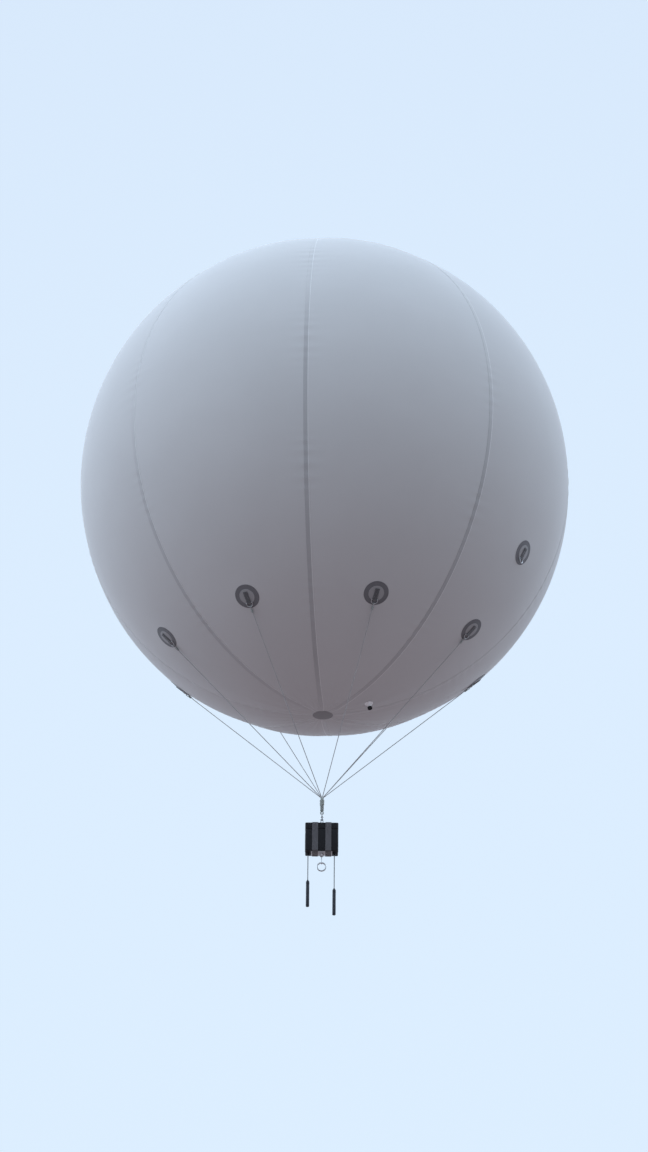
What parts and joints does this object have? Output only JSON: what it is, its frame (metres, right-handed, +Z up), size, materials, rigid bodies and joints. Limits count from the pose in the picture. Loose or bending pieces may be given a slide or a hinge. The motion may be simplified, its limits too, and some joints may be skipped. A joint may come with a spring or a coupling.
{
  "type": "spherical advertising balloon",
  "caption": "Spherical helium balloon of welded gores, with a rope bridle gathered to a knot and swivel, a strapped equipment case, hanging antennas and a tether ring.",
  "frame": {"origin": "centre of the envelope, where the lift of the gas acts", "axes": "+Z up along the balloon's pole axis, -Y the front that faces the viewer, +X to the viewer's right"},
  "size_m": [3.2402, 3.2402, 4.7004],
  "materials": {
    "film": "satin coated film",
    "patch_film": "satin coated film",
    "steel": "zinc plated",
    "rope": "braided rope",
    "white_plastic": "satin moulded",
    "black_plastic": "fine textured",
    "webbing": "woven webbing",
    "gland_rubber": "matte",
    "lead_sheath": "matte sheath",
    "antenna_plastic": "satin tube"
  },
  "bodies": {
    "envelope": {"gore_1": "film", "gore_2": "film", "gore_3": "film", "gore_4": "film", "gore_5": "film", "gore_6": "film", "gore_7": "film", "gore_8": "film", "top_cap": "film", "bottom_cap": "patch_film", "fill_valve": "white_plastic", "valve_cap": "black_plastic", "bridle_patch_1": "patch_film", "bridle_patch_2": "patch_film", "bridle_patch_3": "patch_film", "bridle_patch_4": "patch_film", "bridle_patch_5": "patch_film", "bridle_patch_6": "patch_film", "bridle_patch_7": "patch_film", "bridle_patch_8": "patch_film", "guy_patch_1": "patch_film", "guy_patch_2": "patch_film", "guy_patch_3": "patch_film", "bridle_ring_1": "steel", "bridle_ring_2": "steel", "bridle_ring_3": "steel", "bridle_ring_4": "steel", "bridle_ring_5": "steel", "bridle_ring_6": "steel", "bridle_ring_7": "steel", "bridle_ring_8": "steel", "guy_ring_1": "steel", "guy_ring_2": "steel", "guy_ring_3": "steel", "bridle_line_1": "rope", "bridle_line_2": "rope", "bridle_line_3": "rope", "bridle_line_4": "rope", "bridle_line_5": "rope", "bridle_line_6": "rope", "bridle_line_7": "rope", "bridle_line_8": "rope", "bridle_knot": "rope", "swivel_top": "steel"},
    "swivel": {"swivel_bottom": "steel"},
    "case": {"hanger_plate": "steel", "case_body": "black_plastic", "case_lid": "black_plastic", "case_strap_left": "webbing", "case_strap_right": "webbing", "tether_plate": "steel", "antenna_gland_left": "gland_rubber", "antenna_gland_right": "gland_rubber"},
    "antenna_l": {"antenna_lead_left": "lead_sheath", "antenna_left": "antenna_plastic"},
    "antenna_r": {"antenna_lead_right": "lead_sheath", "antenna_right": "antenna_plastic"},
    "link": {"tether_link": "steel"},
    "ring": {"tether_ring": "steel"}
  },
  "joints": [
    {"name": "swivel_turn", "type": "hinge", "parent": "envelope", "child": "swivel", "pos_m": [0, 0, -2.3752], "axis": [0, 0, 1], "continuous": true},
    {"name": "case_swing", "type": "hinge", "parent": "swivel", "child": "case", "pos_m": [0, 0, -2.4022], "axis": [0, 1, 0], "range_deg": [-45, 45]},
    {"name": "antenna_swing_left", "type": "hinge", "parent": "case", "child": "antenna_l", "pos_m": [-0.086, 0, -2.6301], "axis": [1, 0, 0], "range_deg": [-50, 50]},
    {"name": "antenna_swing_right", "type": "hinge", "parent": "case", "child": "antenna_r", "pos_m": [0.081, 0, -2.6301], "axis": [1, 0, 0], "range_deg": [-50, 50]},
    {"name": "link_swing", "type": "hinge", "parent": "case", "child": "link", "pos_m": [0, 0, -2.6388], "axis": [1, 0, 0], "range_deg": [-60, 60]},
    {"name": "ring_swing", "type": "hinge", "parent": "link", "child": "ring", "pos_m": [0, 0, -2.6876], "axis": [0, 1, 0], "range_deg": [-40, 40]}
  ]
}
